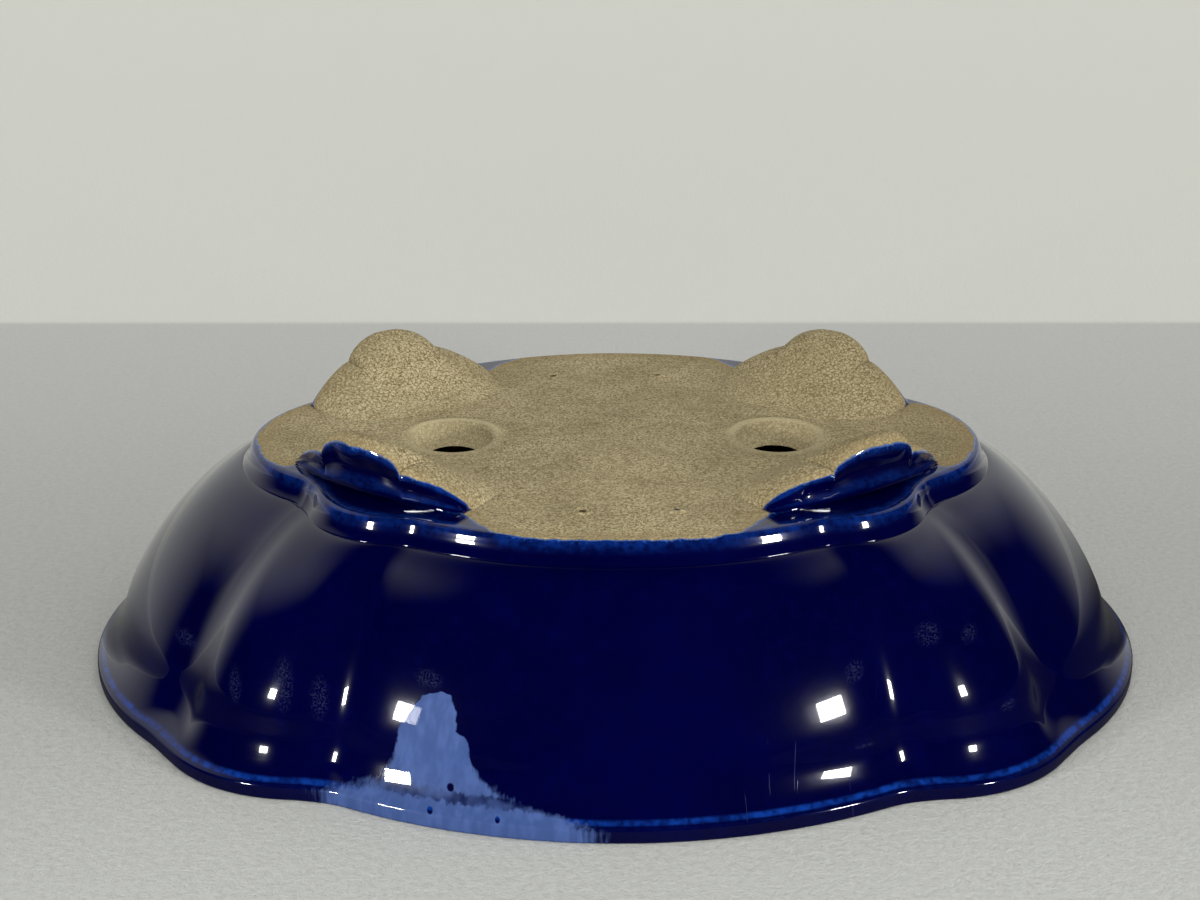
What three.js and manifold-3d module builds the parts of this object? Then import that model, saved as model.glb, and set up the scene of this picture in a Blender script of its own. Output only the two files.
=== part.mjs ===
import * as THREE from "three";
import { mergeVertices } from "three/addons/utils/BufferGeometryUtils.js";
import Module from "manifold-3d";

const wasm = await Module();
wasm.setup();

// Eight-lobed mokko bonsai pot, lying upside down on its rim. Sizes are in millimetres.
// X runs along the pot, Y across it, and +Z points to the feet. The origin is the middle of the rim's face.

// Outline of the rim's edge. Each lobe is one arc that rises over the line between its two notches.
const rim = {
  length: 300,
  width: 227,
  endLobeWidth: 140,
  endLobeRise: 31.5,
  sideLobeWidth: 147,
  sideLobeRise: 20,
  cornerLobeRise: 8,
};

// Outline of the clay base, where the band ends and the bare floor begins.
const base = {
  length: 202,
  width: 151,
  endLobeWidth: 71,
  endLobeRise: 23,
  sideLobeWidth: 102,
  sideLobeRise: 14.5,
  cornerLobeRise: 8,
};

const grooveEase = 4; // stretch of a lobe that bends into the groove beside it
const lipGrooveEase = 9; // the same at the rim's edge, where the grooves are softer
const cornerSwell = 2.5; // corner lobes of the wall past a straight line from base to rim
const grooveDepth = 2.5; // extra depth of the wall's grooves, which gives its lobes rounder ends
const grooveReach = 15; // stretch of a lobe that this takes in
const reliefFade = 4; // power with which both fade out towards the shoulder
const stepsPerLobe = 12;

// Lip and wall.
const lipHeight = 9;
const lipOverhang = 5.9; // edge of the lip past the wall's foot
const lipEdgeHeight = 4;
const lipEdgeRound = 0.8;
const lipFaceWidth = 13;
const lipFlare = 1.4; // power of the hollow curve from the edge up to the wall
const wallHeight = 47.5;
const wallThickness = 6.5;
const wallRoundness = 1.4; // power of the wall's rounded profile
const wallStraight = 0.2; // share of the wall's height that runs straight, above its foot
const shoulderLedge = 4.5; // ledge of the wall outside the clay base

// Floor slab and the bead round it.
const floorThickness = 6.1;
const bandWidth = 6;
const bandBulge = 2;
const floorSeat = 5; // width of the wall's top that carries the slab
const seamGap = 0.3;
const drainDiameter = 18;
const drainMouthRound = 3;
const drainSpacing = 92;
const wireDiameter = 3;
const wireSpacingX = 29;
const wireSpacingY = 110;

// Cloud foot: a middle dome with a lower shoulder on each side, and a long slope down to the floor.
const foot = {
  length: 59,
  height: 16,
  domeLength: 27,
  valleyHeight: 9.4,
  domeRise: 7.2,
  shoulderRise: 2,
  endHeight: 0.8,
  endDepth: 3,
  depth: 34,
  crestWidth: 4,
  bow: 10, // ends of the crest behind its middle
  bowPower: 1.6,
  flare: 4, // middle of the crest past the foot's root
  rootBow: 3, // ends of the root behind its middle
  rootBowPower: 3,
  face: [0.7, 0.45], // a place on the outer face: share of the way from root to crest, share of the height
  edge: [0.2, 0.86], // the crest's outer edge: share of the crest's width that it rounds, share of the height
  slope: [[0.2, 0.82], [0.45, 0.52], [0.75, 0.2]], // places between crest and toe, in the same shares
  turn: 35, // degrees off the pot's length
  fromEnd: 33.4,
  fromSide: 28,
  backLeftShift: 3, // the back left foot was set this much further out by hand
};

// Levels and reaches that follow from the sizes above.
const fullReach = (rim.length - base.length) / 2;
const wallReach = fullReach - lipOverhang;
const shoulderLevel = lipHeight + wallHeight;
const baseLevel = shoulderLevel + floorThickness;

// A value between a and b, or past them.
function mix(a, b, share) {
  return a + (b - a) * share;
}

// The outline that lies reach millimetres outside the clay base, measured at the pot's ends.
function outlineAt(reach) {
  const outline = {};
  for (const size in base) outline[size] = mix(base[size], rim[size], reach / fullReach);
  return outline;
}

// The circle through two points that bulges by rise to the right of the way from one to the other.
function arcThrough(from, to, rise) {
  const chord = to.clone().sub(from);
  const half = chord.length() / 2;
  const radius = (half * half + rise * rise) / (2 * rise);
  const outward = new THREE.Vector2(chord.y, -chord.x).normalize();
  const centre = from.clone().add(to).multiplyScalar(0.5).addScaledVector(outward, rise - radius);
  const start = from.clone().sub(centre).angle();
  let end = to.clone().sub(centre).angle();
  if (end < start) end += 2 * Math.PI;
  return { centre, radius, start, end };
}

// Points counter-clockwise round an eight-lobed outline, sunk and eased into each of its notches.
function lobedLoop(outline, ease = grooveEase, depth = 0) {
  const endX = outline.length / 2 - outline.endLobeRise;
  const endY = outline.endLobeWidth / 2;
  const sideX = outline.sideLobeWidth / 2;
  const sideY = outline.width / 2 - outline.sideLobeRise;
  const notches = [
    [endX, -endY],
    [endX, endY],
    [sideX, sideY],
    [-sideX, sideY],
    [-endX, endY],
    [-endX, -endY],
    [-sideX, -sideY],
    [sideX, -sideY],
  ].map(([x, y]) => new THREE.Vector2(x, y));
  const rises = [outline.endLobeRise, outline.cornerLobeRise, outline.sideLobeRise, outline.cornerLobeRise];
  const arcs = notches.map((notch, i) => arcThrough(notch, notches[(i + 1) % 8], rises[i % 4]));
  const leaving = arcs.map((arc) => new THREE.Vector2(-Math.sin(arc.start), Math.cos(arc.start)));
  const arriving = arcs.map((arc) => new THREE.Vector2(Math.sin(arc.end), -Math.cos(arc.end)));
  const opening = notches.map((_, i) => leaving[i].clone().add(arriving[(i + 7) % 8]).normalize());
  const points = [];
  arcs.forEach((arc, i) => {
    for (let step = 0; step < stepsPerLobe; step++) {
      const share = (1 - Math.cos((Math.PI * step) / stepsPerLobe)) / 2;
      const angle = mix(arc.start, arc.end, share);
      const point = new THREE.Vector2(Math.cos(angle), Math.sin(angle));
      point.multiplyScalar(arc.radius).add(arc.centre);
      shapeNotch(point, leaving[i], opening[i], (angle - arc.start) * arc.radius, ease, depth);
      shapeNotch(point, arriving[i], opening[(i + 1) % 8], (arc.end - angle) * arc.radius, ease, depth);
      points.push(point);
    }
  });
  return points;
}

// Moves a point near a notch: in by the groove's extra depth, and back out next to the notch, so that
// the groove has a round bottom.
function shapeNotch(point, along, opening, distance, ease, depth) {
  const sunk = Math.max(0, 1 - distance / grooveReach);
  point.addScaledVector(opening, -depth * sunk * sunk);
  if (distance >= ease) return;
  const cosine = along.dot(opening);
  const slope = cosine / Math.sqrt(1 - cosine * cosine) + (2 * depth) / grooveReach;
  point.addScaledVector(opening, (slope * (ease - distance) ** 2) / (2 * ease));
}

// The loop moved inwards by depth, square to itself.
function insetLoop(loop, depth) {
  return loop.map((point, i) => {
    const before = loop[(i + loop.length - 1) % loop.length];
    const after = loop[(i + 1) % loop.length];
    const along = after.clone().sub(before).normalize();
    return new THREE.Vector2(point.x - along.y * depth, point.y + along.x * depth);
  });
}

// One loop of a solid: the outline at a reach, set in by some depth, at a level. Relief is how much of the
// wall's extra shape it has: none at the lip's edge and the shoulder, and all of it where the wall starts.
function loopAt(reach, inset, level, ease = grooveEase, relief = 0) {
  const outline = outlineAt(reach);
  outline.cornerLobeRise += cornerSwell * relief;
  const flat = insetLoop(lobedLoop(outline, ease, grooveDepth * relief), inset);
  return flat.map((point) => new THREE.Vector3(point.x, point.y, level));
}

// A closed body through loops of equally many points. A ring joins its last loop to its first,
// and any other body is capped at both ends by fans from each end loop's first point.
function bodyThrough(loops, isRing) {
  const count = loops[0].length;
  const faces = [];
  const spans = isRing ? loops.length : loops.length - 1;
  for (let i = 0; i < spans; i++) {
    const here = i * count;
    const next = ((i + 1) % loops.length) * count;
    for (let j = 0; j < count; j++) {
      const k = (j + 1) % count;
      faces.push(here + j, here + k, next + k);
      faces.push(here + j, next + k, next + j);
    }
  }
  if (!isRing) {
    const end = (loops.length - 1) * count;
    for (let j = 1; j < count - 1; j++) {
      faces.push(0, j + 1, j);
      faces.push(end, end + j, end + j + 1);
    }
  }
  const geometry = new THREE.BufferGeometry().setFromPoints(loops.flat());
  geometry.setIndex(faces);
  geometry.computeVertexNormals();
  return geometry;
}

// The wall's rounded curve, carried on straight below the place where its foot begins.
function wallCurve(share) {
  const bent = Math.max(share, wallStraight);
  const reached = (1 - bent ** wallRoundness) ** (1 / wallRoundness);
  if (share === bent) return reached;
  const slope = reached ** (1 - wallRoundness) * bent ** (wallRoundness - 1);
  return reached + slope * (bent - share);
}

// The profile of the wall: 1 at its foot and 0 at its top.
function wallProfile(share) {
  return wallCurve(share) / wallCurve(0);
}

// Rim lip: a flat face to stand on, an upright edge, and a hollow curve that runs up into the wall.
function makeRimLip() {
  const flareSteps = 6;
  const loops = [
    loopAt(fullReach - lipEdgeRound, 0, 0, lipGrooveEase),
    loopAt(fullReach, 0, lipEdgeRound, lipGrooveEase),
  ];
  for (let i = 0; i <= flareSteps; i++) {
    const share = i / flareSteps;
    const reach = fullReach - lipOverhang * (1 - (1 - share) ** lipFlare);
    const level = mix(lipEdgeHeight, lipHeight, share);
    loops.push(loopAt(reach, 0, level, mix(lipGrooveEase, grooveEase, share), share));
  }
  loops.push(loopAt(wallReach, wallThickness, lipHeight, grooveEase, 1));
  loops.push(loopAt(fullReach - lipEdgeRound, lipFaceWidth, lipEdgeRound, lipGrooveEase));
  loops.push(loopAt(fullReach - lipEdgeRound, lipFaceWidth - lipEdgeRound, 0, lipGrooveEase));
  return bodyThrough(loops, true);
}

// Bowl wall: eight lobes that curve in from the lip to the base, and a top that carries slab and band.
function makeBowlWall() {
  const steps = 9;
  const bunching = 1.6; // power that brings the loops closer together towards the top
  const topInset = bandWidth + floorSeat - wallThickness;
  const outer = [];
  const inner = [];
  for (let i = 0; i <= steps; i++) {
    const share = 1 - (1 - i / steps) ** bunching;
    const level = mix(lipHeight, shoulderLevel, share);
    const bulge = wallProfile(share);
    const relief = 1 - share ** reliefFade;
    outer.push(loopAt(mix(shoulderLedge, wallReach, bulge), 0, level, grooveEase, relief));
    inner.unshift(loopAt(mix(-topInset, wallReach, bulge), wallThickness, level, grooveEase, relief));
  }
  return bodyThrough([...outer, ...inner], true);
}

// Base band: the rounded bead round the floor slab.
function makeBaseBand() {
  const steps = 8;
  const loops = [];
  for (let i = 0; i <= steps; i++) {
    const angle = Math.PI * (i / steps - 0.5);
    const level = shoulderLevel + (floorThickness * (1 + Math.sin(angle))) / 2;
    loops.push(loopAt(bandBulge * Math.cos(angle), 0, level));
  }
  loops.push(loopAt(0, bandWidth, baseLevel));
  loops.push(loopAt(0, bandWidth, shoulderLevel));
  return bodyThrough(loops, true);
}

// A solid of the cutting library from a closed geometry.
function toSolid(geometry) {
  const bare = geometry.clone();
  bare.deleteAttribute("normal");
  bare.deleteAttribute("uv");
  const merged = mergeVertices(bare);
  const vertProperties = merged.attributes.position.array;
  const triVerts = new Uint32Array(merged.index.array);
  return new wasm.Manifold(new wasm.Mesh({ numProp: 3, vertProperties, triVerts }));
}

// A geometry from a solid of the cutting library.
function toGeometry(solid) {
  const mesh = solid.getMesh();
  const geometry = new THREE.BufferGeometry();
  geometry.setAttribute("position", new THREE.BufferAttribute(mesh.vertProperties, 3));
  geometry.setIndex(new THREE.BufferAttribute(mesh.triVerts, 1));
  geometry.computeVertexNormals();
  return geometry;
}

// The space of a drain hole, which widens by a rounded mouth at the outside of the floor.
function drainHoleSpace() {
  const past = 1;
  const radius = drainDiameter / 2;
  const mouthSteps = 4;
  const profile = [new THREE.Vector2(0, -past), new THREE.Vector2(radius, -past)];
  for (let i = 0; i <= mouthSteps; i++) {
    const angle = (Math.PI / 2) * (i / mouthSteps);
    const widening = drainMouthRound * (1 - Math.cos(angle));
    const drop = drainMouthRound * (1 - Math.sin(angle));
    profile.push(new THREE.Vector2(radius + widening, floorThickness - drop));
  }
  profile.push(new THREE.Vector2(radius + drainMouthRound, floorThickness + past));
  profile.push(new THREE.Vector2(0, floorThickness + past));
  return new THREE.LatheGeometry(profile, 28).rotateX(Math.PI / 2);
}

// The space of a wire hole, straight through the floor.
function wireHoleSpace() {
  const past = 1;
  const space = new THREE.CylinderGeometry(wireDiameter / 2, wireDiameter / 2, floorThickness + 2 * past, 12);
  return space.rotateX(Math.PI / 2).translate(0, 0, floorThickness / 2);
}

// Floor slab inside the band, with its drain holes and wire holes cut out.
function makeFloorSlab() {
  const edge = new THREE.Shape(insetLoop(lobedLoop(base), bandWidth + seamGap));
  const plate = new THREE.ExtrudeGeometry(edge, { depth: floorThickness, bevelEnabled: false });
  let slab = toSolid(plate);
  for (const side of [-1, 1]) {
    slab = slab.subtract(toSolid(drainHoleSpace().translate((side * drainSpacing) / 2, 0, 0)));
    for (const face of [-1, 1]) {
      const place = [(side * wireSpacingX) / 2, (face * wireSpacingY) / 2, 0];
      slab = slab.subtract(toSolid(wireHoleSpace().translate(...place)));
    }
  }
  return toGeometry(slab);
}

// A bump from 0 to 1 and back to 0 as share goes from 0 to 1, steep at both ends.
function bump(share) {
  return Math.sqrt(Math.max(0, 1 - (2 * share - 1) ** 2));
}

// Height of the foot's crest at a place along it, measured from its middle.
function crestHeight(along) {
  const valley = foot.domeLength / 2;
  const distance = Math.abs(along);
  if (distance < valley) {
    const height = foot.valleyHeight + foot.domeRise * bump((along + valley) / (2 * valley));
    return Math.min(foot.height, height);
  }
  const share = (distance - valley) / (foot.length / 2 - valley);
  return mix(foot.valleyHeight, foot.endHeight, share) + foot.shoulderRise * bump(share);
}

// One closed section across the foot: root, outer face, crest, slope and toe.
function footSection(along) {
  const share = Math.min(1, Math.abs(along) / (foot.length / 2));
  const height = crestHeight(along);
  const crest = foot.bow * share ** foot.bowPower;
  const root = foot.flare + foot.rootBow * share ** foot.rootBowPower;
  const toe = crest + mix(foot.endDepth, foot.depth, Math.sqrt(1 - share * share));
  const front = crest - foot.crestWidth / 4;
  const back = front + Math.min(foot.crestWidth, (toe - crest) / 2);
  const slope = foot.slope.map(([way, part]) => [mix(back, toe, way), height * part]);
  return [
    [root, 0],
    [mix(root, front, foot.face[0]), height * foot.face[1]],
    [front, height * foot.edge[1]],
    [front + foot.crestWidth * foot.edge[0], height],
    [back, height],
    ...slope,
    [toe, 0],
  ];
}

// Cloud foot of the corner where X and Y are both positive. The other three are its mirror images.
function makeCloudFoot() {
  const turn = THREE.MathUtils.degToRad(foot.turn);
  const alongCrest = new THREE.Vector2(-Math.cos(turn), Math.sin(turn));
  const inwards = new THREE.Vector2(-Math.sin(turn), -Math.cos(turn));
  const middle = new THREE.Vector2(base.length / 2 - foot.fromEnd, base.width / 2 - foot.fromSide);
  const stops = [foot.length / 2, foot.domeLength / 2, -foot.domeLength / 2, -foot.length / 2];
  const steps = [6, 10, 6]; // over a shoulder, the dome and the other shoulder
  const places = [stops[0]];
  steps.forEach((count, i) => {
    for (let step = 1; step <= count; step++) {
      const share = (1 - Math.cos((Math.PI * step) / count)) / 2;
      places.push(mix(stops[i], stops[i + 1], share));
    }
  });
  const loops = places.map((along) =>
    footSection(along).map(([inset, height]) => {
      const point = middle.clone().addScaledVector(alongCrest, along).addScaledVector(inwards, inset);
      return new THREE.Vector3(point.x, point.y, baseLevel + height);
    }),
  );
  return bodyThrough(loops, false);
}

const glaze = { color: 0x0b1f7a, roughness: 0.08, metalness: 0 };
const clay = { color: 0x968c73, roughness: 0.85, metalness: 0 };

// A named mesh with a material of its own.
function piece(name, geometry, finish) {
  const mesh = new THREE.Mesh(geometry, new THREE.MeshStandardMaterial(finish));
  mesh.name = name;
  return mesh;
}

const pot = new THREE.Group();
pot.add(piece("rim_lip", makeRimLip(), glaze));
pot.add(piece("bowl_wall", makeBowlWall(), glaze));
pot.add(piece("base_band", makeBaseBand(), glaze));

const slab = piece("floor_slab", makeFloorSlab(), clay);
slab.position.z = shoulderLevel;
pot.add(slab);

for (const [side, sideName] of [[-1, "left"], [1, "right"]]) {
  for (const [face, faceName] of [[-1, "front"], [1, "back"]]) {
    const cloudFoot = piece(`cloud_foot_${faceName}_${sideName}`, makeCloudFoot(), clay);
    cloudFoot.scale.set(side, face, 1);
    if (faceName === "back" && sideName === "left") cloudFoot.position.x = -foot.backLeftShift;
    pot.add(cloudFoot);
  }
}

export default pot;
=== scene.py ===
import math

import bmesh
import bpy
import numpy as np
from mathutils import Matrix, Vector, noise


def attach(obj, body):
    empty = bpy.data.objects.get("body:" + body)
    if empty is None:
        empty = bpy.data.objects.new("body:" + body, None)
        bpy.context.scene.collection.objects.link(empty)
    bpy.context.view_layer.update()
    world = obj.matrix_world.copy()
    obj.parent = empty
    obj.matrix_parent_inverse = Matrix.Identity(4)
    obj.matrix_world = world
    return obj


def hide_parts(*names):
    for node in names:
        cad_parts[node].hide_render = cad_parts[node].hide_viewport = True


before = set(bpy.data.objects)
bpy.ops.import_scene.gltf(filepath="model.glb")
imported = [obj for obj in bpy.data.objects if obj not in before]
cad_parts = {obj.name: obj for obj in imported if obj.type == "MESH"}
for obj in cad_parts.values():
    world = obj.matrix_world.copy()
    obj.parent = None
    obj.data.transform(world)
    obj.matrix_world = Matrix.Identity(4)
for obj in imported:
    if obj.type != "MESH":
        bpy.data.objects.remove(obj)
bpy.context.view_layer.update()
print("frame loaded with", len(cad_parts), "solids")

# Everything is in metres. The pot lies upside down on its rim: X along it, Y across it, Z up to the feet.


# outline of the pot

# Whole length and width, then for each lobe its width between grooves and how far it rises past them.
rimOutline = {
    "length": 0.300, "width": 0.227, "endWidth": 0.140, "endRise": 0.0315,
    "sideWidth": 0.149, "sideRise": 0.020, "cornerRise": 0.008,
}
baseOutline = {
    "length": 0.202, "width": 0.151, "endWidth": 0.071, "endRise": 0.023,
    "sideWidth": 0.102, "sideRise": 0.0145, "cornerRise": 0.008,
}
lobes = {
    "steps": (46, 28, 72, 28),  # across an end lobe, a corner lobe, a side lobe and a corner lobe
    "crowding": 0.6,  # how far the steps crowd towards the grooves
    "ease": 0.0042,  # stretch of a lobe that bends into its groove
    "wallEase": 0.0065,  # the same where the wall's relief is whole
    "lipEase": 0.009,  # and on the lip
    "endSoftness": 1.8,  # how many times softer the grooves beside the end lobes are at the base
    "grooveDepth": 0.0025,  # how far the wall's grooves are sunk
    "grooveReach": 0.015,  # and how far to each side of them the wall sinks
    "reliefFade": 4,  # power with which that fades towards the base
    "grooveBow": 0.75,  # power with which the side lobes widen from base to rim
}
levels = {"wallFoot": 0.009, "shoulder": 0.0565, "base": 0.0626}
drainX = 0.046  # each drain hole lies this far from the middle
fullReach = (rimOutline["length"] - baseOutline["length"]) / 2  # from the clay base out to the rim

# Millimetres past the glaze's edge, where the exact distance doesn't matter.
wellGlazed, wellBare = 20, -20


def mixed(a, b, share):
    return a + (b - a) * share


def smooth(low, high, value):
    share = min(1, max(0, (value - low) / (high - low)))
    return share * share * (3 - 2 * share)


def plateau(begin, whole, leave, end, value):
    # 0 outside the outer two values, 1 between the inner two
    return smooth(begin, whole, value) * (1 - smooth(leave, end, value))


def crowded(step, steps, strength):
    # place of a step, from 0 to 1, with the steps crowded towards both ends
    even = step / steps
    return mixed(even, (1 - math.cos(math.pi * even)) / 2, strength)


def shapeNotch(point, along, opening, distance, ease, depth):
    # sinks the groove by its extra depth, then rounds its bottom
    sunk = max(0, 1 - distance / lobes["grooveReach"])
    point -= opening * depth * sunk * sunk
    if distance < ease:
        cosine = along.dot(opening)
        slope = cosine / math.sqrt(1 - cosine * cosine) + 2 * depth / lobes["grooveReach"]
        point += opening * slope * (ease - distance) ** 2 / (2 * ease)


def lobeArcs(reach, full):
    # the eight lobes as arcs: centre, radius and the angles where each begins and ends
    size = {name: mixed(baseOutline[name], rimOutline[name], reach / fullReach) for name in baseOutline}
    bowed = max(0, reach / fullReach) ** lobes["grooveBow"]
    size["sideWidth"] = mixed(baseOutline["sideWidth"], rimOutline["sideWidth"], bowed)
    endX, endY = size["length"] / 2 - size["endRise"], size["endWidth"] / 2
    sideX, sideY = size["sideWidth"] / 2, size["width"] / 2 - size["sideRise"]
    quarter = [(endX, endY), (sideX, sideY)]
    notches = [Vector((endX, -endY))] + [Vector(place) for place in quarter]
    notches += [Vector((-x, y)) for x, y in reversed(quarter)]
    notches += [Vector((-endX, -endY)), Vector((-sideX, -sideY)), Vector((sideX, -sideY))]
    corner = size["cornerRise"] + full
    rises = (size["endRise"], corner, size["sideRise"], corner)
    arcs = []
    for i, notch in enumerate(notches):
        chord = notches[(i + 1) % 8] - notch
        half, rise = chord.length / 2, rises[i % 4]
        radius = (half * half + rise * rise) / (2 * rise)
        outward = Vector((chord.y, -chord.x)).normalized()
        centre = notch + chord / 2 + outward * (rise - radius)
        begin = math.atan2(*reversed(notch - centre))
        end = math.atan2(*reversed(notch + chord - centre))
        arcs.append((centre, radius, begin, end + 2 * math.pi if end < begin else end))
    return arcs


def lobedRing(reach, level, inset=0, ease=lobes["ease"], relief=0, full=0):
    # points round the outline that lies some reach outside the clay base, set in square to itself
    arcs = lobeArcs(reach, full)
    leaving = [Vector((-math.sin(begin), math.cos(begin))) for _, _, begin, _ in arcs]
    arriving = [Vector((math.sin(end), -math.cos(end))) for _, _, _, end in arcs]
    opening = [(leaving[i] + arriving[i - 1]).normalized() for i in range(8)]
    byEnd = ease * mixed(lobes["endSoftness"], 1, min(1, max(0, reach / fullReach)))
    eases = (byEnd, byEnd, ease, ease)
    depth = lobes["grooveDepth"] * relief
    ring = []
    for i, (centre, radius, begin, end) in enumerate(arcs):
        steps = lobes["steps"][i % 4]
        for step in range(steps):
            angle = mixed(begin, end, crowded(step, steps, lobes["crowding"]))
            point = centre + Vector((math.cos(angle), math.sin(angle))) * radius
            fromBegin, fromEnd = (angle - begin) * radius, (end - angle) * radius
            shapeNotch(point, leaving[i], opening[i], fromBegin, eases[i % 4], depth)
            shapeNotch(point, arriving[i], opening[(i + 1) % 8], fromEnd, eases[(i + 1) % 4], depth)
            ring.append(point)
    placed = []
    for i, point in enumerate(ring):
        along = (ring[(i + 1) % len(ring)] - ring[i - 1]).normalized()
        placed.append(Vector((point.x - along.y * inset, point.y + along.x * inset, level)))
    return placed


hand = {
    "sway": (0.0007, 0.0007, 0.00042), "closeness": 16,  # how far and how often it strays from true
    "starts": (3, 31, 67),  # where its noise is read for each direction
    "free": (0.003, 0.012),  # the rim face stays flat: the sway begins above it, between these levels
}


def pottersHand(point):
    # slight unevenness of hand work, one field for all the pieces, so that neighbours still meet
    free = smooth(*hand["free"], point.z)
    strays = [noise.noise(point * hand["closeness"] + Vector((0, 0, start))) for start in hand["starts"]]
    return point + Vector([stray * sway * free for stray, sway in zip(strays, hand["sway"])])


# where the glaze ends

foot = {
    "length": 0.059, "height": 0.016, "domeLength": 0.027, "valley": 0.0094, "domeRise": 0.0072,
    "shoulderRise": 0.002, "endHeight": 0.0008, "endDepth": 0.003, "depth": 0.034, "crestWidth": 0.004,
    "bow": 0.010, "bowPower": 1.6, "flare": 0.004, "rootBow": 0.003, "rootBowPower": 3,
    "turn": math.radians(35), "fromEnd": 0.0334, "fromSide": 0.028, "backLeftShift": 0.003,
    "stepsAlong": (22, 44, 22), "sectionPoints": 69,
    "sectionSteps": 17,  # steps between the places of a section, counted from the root
    "glazeEnds": 8.9,  # the step where the glaze ends
    "lumps": 0.0007, "lumpCloseness": 150,
    # outer face from the root's crease up: share of the way from root to crest, share of the height
    "face": [(0.25, 0.02), (0.55, 0.07), (0.66, 0.15), (0.69, 0.25), (0.55, 0.40), (0.52, 0.48), (0.78, 0.62),
             (0.94, 0.73), (0.99, 0.83)],
}
footMiddle = Vector((baseOutline["length"] / 2 - foot["fromEnd"],
                     baseOutline["width"] / 2 - foot["fromSide"]))
alongCrest = Vector((-math.cos(foot["turn"]), math.sin(foot["turn"])))
inwards = Vector((-math.sin(foot["turn"]), -math.cos(foot["turn"])))


def footRoot(along, inset=0):
    share = min(1, abs(along) / (foot["length"] / 2))
    bowed = foot["rootBow"] * share ** foot["rootBowPower"]
    return footMiddle + alongCrest * along + inwards * (foot["flare"] + bowed + inset)


# One quarter of the clay's edge, from the middle of a side lobe to the middle of an end lobe.
half = foot["length"] / 2
clayQuarter = [(0, 0.0762), (0.014, 0.0756), (0.024, 0.0738), (0.0305, 0.0708), (0.0348, 0.0655),
               (0.0375, 0.0610)]
clayQuarter += [tuple(footRoot(half * share, 0.001))
                for share in (0.97, 0.8, 0.5, 0.2, -0.2, -0.5, -0.8, -0.97)]
clayQuarter += [(0.0895, 0.0262), (0.0925, 0.0242), (0.0958, 0.0198), (0.0988, 0.0126), (0.1006, 0.0063),
                (0.1013, 0)]
clayLine = clayQuarter + [(x, -y) for x, y in reversed(clayQuarter[:-1])]
clayLine += [(-x, -y) for x, y in clayQuarter[1:]]
clayLine += [(-x, y) for x, y in reversed(clayQuarter[1:-1])]
clayLine = np.array(clayLine)


def pastClay(points):
    # millimetres from the clay's edge in plan: more than 0 where the glaze is
    places = np.array([(point[0], point[1]) for point in points])
    starts, ways = clayLine, np.roll(clayLine, -1, 0) - clayLine
    nearest = np.full(len(places), 1e9)
    inside = np.zeros(len(places), bool)
    for start, way in zip(starts, ways):
        offset = places - start
        share = np.clip(offset @ way / (way @ way), 0, 1)
        nearest = np.minimum(nearest, np.hypot(*(offset - share[:, None] * way).T))
        crosses = (offset[:, 1] < 0) != (offset[:, 1] - way[1] < 0)
        if way[1] != 0:
            inside ^= crosses & (offset[:, 0] < offset[:, 1] * way[0] / way[1])
    return np.where(inside, -nearest, nearest) * 1000


# tools that shape a mesh

def through(points, count):
    # evenly many places on a smooth curve through the points
    knots = [points[0] * 2 - points[1]] + points + [points[-1] * 2 - points[-2]]
    spans = len(points) - 1
    line = []
    for step in range(count):
        place = step / (count - 1) * spans
        i = min(spans - 1, int(place))
        t = place - i
        a, b, c, d = knots[i:i + 4]
        curved = (c - a) * t + (2 * a - 5 * b + 4 * c - d) * t ** 2 + (3 * b - a - 3 * c + d) * t ** 3
        line.append(0.5 * (2 * b + curved))
    return line


def newShape(mesh=None):
    bm = bmesh.new()
    if mesh:
        bm.from_mesh(mesh)
    bm.verts.layers.float.new("glazeEdge")  # millimetres past the glaze's edge, less than 0 on bare clay
    bm.verts.layers.float.new("thinGlaze")  # 1 where the glaze has run thin, and in the feet's painted reflection bands
    return bm


def mark(bm, verts, glazeEdge, thinGlaze):
    edgeLayer = bm.verts.layers.float["glazeEdge"]
    thinLayer = bm.verts.layers.float["thinGlaze"]
    for i, vert in enumerate(verts):
        vert[edgeLayer] = glazeEdge if isinstance(glazeEdge, (int, float)) else glazeEdge[i]
        vert[thinLayer] = thinGlaze if isinstance(thinGlaze, (int, float)) else thinGlaze[i]


def vertsOf(grown):
    return [item for item in grown["geom"] if isinstance(item, bmesh.types.BMVert)]


def ringEdges(bm, ring):
    return [bm.edges.get((ring[i - 1], ring[i])) for i in range(len(ring))]


def grownFrom(vert, fresh):
    others = (edge.other_vert(vert) for edge in vert.link_edges)
    return next(other for other in others if other in fresh)


def sweep(bm, rings):
    # extrudes one ring of edges from place to place; every ring is its points, glaze edge and thinness
    made, ring = [], None
    for points, glazeEdge, thinGlaze in rings:
        if ring is None:
            ring = bmesh.ops.create_circle(bm, segments=len(points), radius=0.1)["verts"]
        else:
            fresh = set(vertsOf(bmesh.ops.extrude_edge_only(bm, edges=ringEdges(bm, ring))))
            ring = [grownFrom(vert, fresh) for vert in ring]
        for vert, point in zip(ring, points):
            vert.co = point
        mark(bm, ring, glazeEdge, thinGlaze)
        made.append(ring)
    return made


def shapeFrom(bm, name, closed=True):
    # puts a finished shape into the scene, with the faces of a closed one pointing outwards
    if closed:
        bmesh.ops.recalc_face_normals(bm, faces=bm.faces)
    mesh = bpy.data.meshes.new(name)
    bm.to_mesh(mesh)
    bm.free()
    shape = bpy.data.objects.new(name, mesh)
    bpy.context.scene.collection.objects.link(shape)
    return shape


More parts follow.
